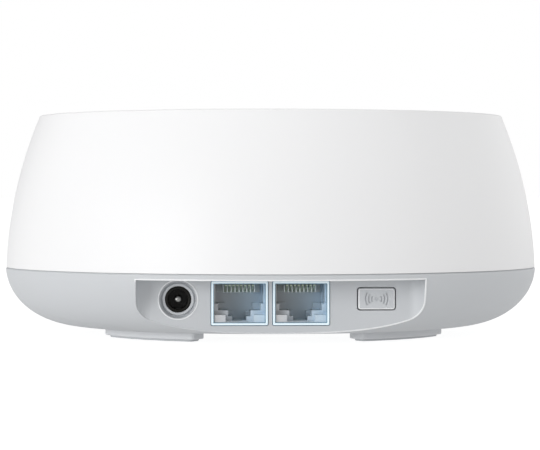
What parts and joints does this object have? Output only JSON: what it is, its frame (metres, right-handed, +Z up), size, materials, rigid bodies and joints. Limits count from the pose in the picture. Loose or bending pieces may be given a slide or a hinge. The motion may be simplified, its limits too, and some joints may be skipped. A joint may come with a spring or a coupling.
{
  "type": "mesh wifi node",
  "caption": "Round tabletop mesh wifi node: white tapered cover on a grey bowl base, with a rear recess for the power inlet, network sockets and pairing button.",
  "frame": {"origin": "centre of the foot plane, on the round body's axis", "axes": "+Z up, the port panel faces -Y, +X to the right when facing the ports"},
  "size_m": [0.15, 0.15, 0.0621],
  "materials": {
    "white_shell": "fine satin moulding",
    "grey_shell": "fine satin moulding, cool light grey",
    "foot_rubber": "matt",
    "socket_plastic": "satin",
    "rim_plastic": "pale ice blue, smooth",
    "black_plastic": "satin",
    "tin_plate": "tinned sheet",
    "gold_plate": "gold flash",
    "screw_steel": "zinc plated",
    "board_green": "solder mask",
    "chip_black": "moulded epoxy",
    "sink_aluminium": "extruded",
    "thermal_silicone": "soft, matt",
    "frame_plastic": "natural",
    "cable_jacket": "extruded jacket",
    "clear_plastic": "frosted, lets light through",
    "label_white": "film"
  },
  "bodies": {
    "housing": {"upper_shell": "white_shell", "base_shell": "grey_shell", "foot_pad_1": "foot_rubber", "foot_pad_2": "foot_rubber", "foot_pad_3": "foot_rubber", "foot_pad_4": "foot_rubber", "rj45_housing_1": "socket_plastic", "rj45_housing_2": "socket_plastic", "dc_jack_body": "black_plastic", "main_board": "board_green", "processor_chip": "chip_black", "memory_chip": "chip_black", "flash_chip": "chip_black", "ethernet_switch_chip": "chip_black", "radio_chip_1": "chip_black", "radio_chip_2": "chip_black", "radio_shield_can_1": "tin_plate", "radio_shield_can_2": "tin_plate", "thermal_pad": "thermal_silicone", "heat_sink": "sink_aluminium", "heat_sink_pin_1": "frame_plastic", "heat_sink_pin_2": "frame_plastic", "antenna_carrier": "frame_plastic", "antenna_1": "gold_plate", "antenna_2": "gold_plate", "antenna_3": "gold_plate", "antenna_4": "gold_plate", "antenna_cable_1": "cable_jacket", "antenna_cable_2": "cable_jacket", "antenna_cable_3": "cable_jacket", "antenna_cable_4": "cable_jacket", "rj45_shield_1": "tin_plate", "rj45_shield_2": "tin_plate", "rj45_contacts_1": "gold_plate", "rj45_contacts_2": "gold_plate", "rj45_face_rim_1": "rim_plastic", "rj45_face_rim_2": "rim_plastic", "dc_jack_pin": "screw_steel", "dc_jack_spring": "tin_plate", "lan_transformer_1": "chip_black", "lan_transformer_2": "chip_black", "power_inductor": "black_plastic", "bulk_capacitor": "sink_aluminium", "case_screw_1": "screw_steel", "case_screw_2": "screw_steel", "case_screw_3": "screw_steel", "case_screw_4": "screw_steel", "board_screw_1": "screw_steel", "board_screw_2": "screw_steel", "board_screw_3": "screw_steel", "board_screw_4": "screw_steel", "pairing_switch_body": "tin_plate", "reset_switch_body": "tin_plate", "status_light_pipe": "clear_plastic", "status_led": "label_white", "rating_label": "label_white"},
    "pairing_button": {"pairing_button": "grey_shell"},
    "pairing_plunger": {"pairing_plunger": "black_plastic"},
    "reset_plunger": {"reset_plunger": "black_plastic"}
  },
  "joints": [
    {"name": "pairing_button_press", "type": "slide", "parent": "housing", "child": "pairing_button", "axis": [0, 1, 0], "range_m": [0, 0.0008], "stiffness_N_per_m": 600, "springref_m": -0.0004},
    {"name": "pairing_plunger_press", "type": "slide", "parent": "housing", "child": "pairing_plunger", "axis": [0, 1, 0], "range_m": [0, 0.0003]},
    {"name": "reset_plunger_press", "type": "slide", "parent": "housing", "child": "reset_plunger", "axis": [0, 0, 1], "range_m": [0, 0.00025], "stiffness_N_per_m": 2000, "springref_m": -0.0001}
  ],
  "couplings": [
    {"joint": "pairing_plunger_press", "follows": "pairing_button_press", "ratio": 0.3125}
  ]
}
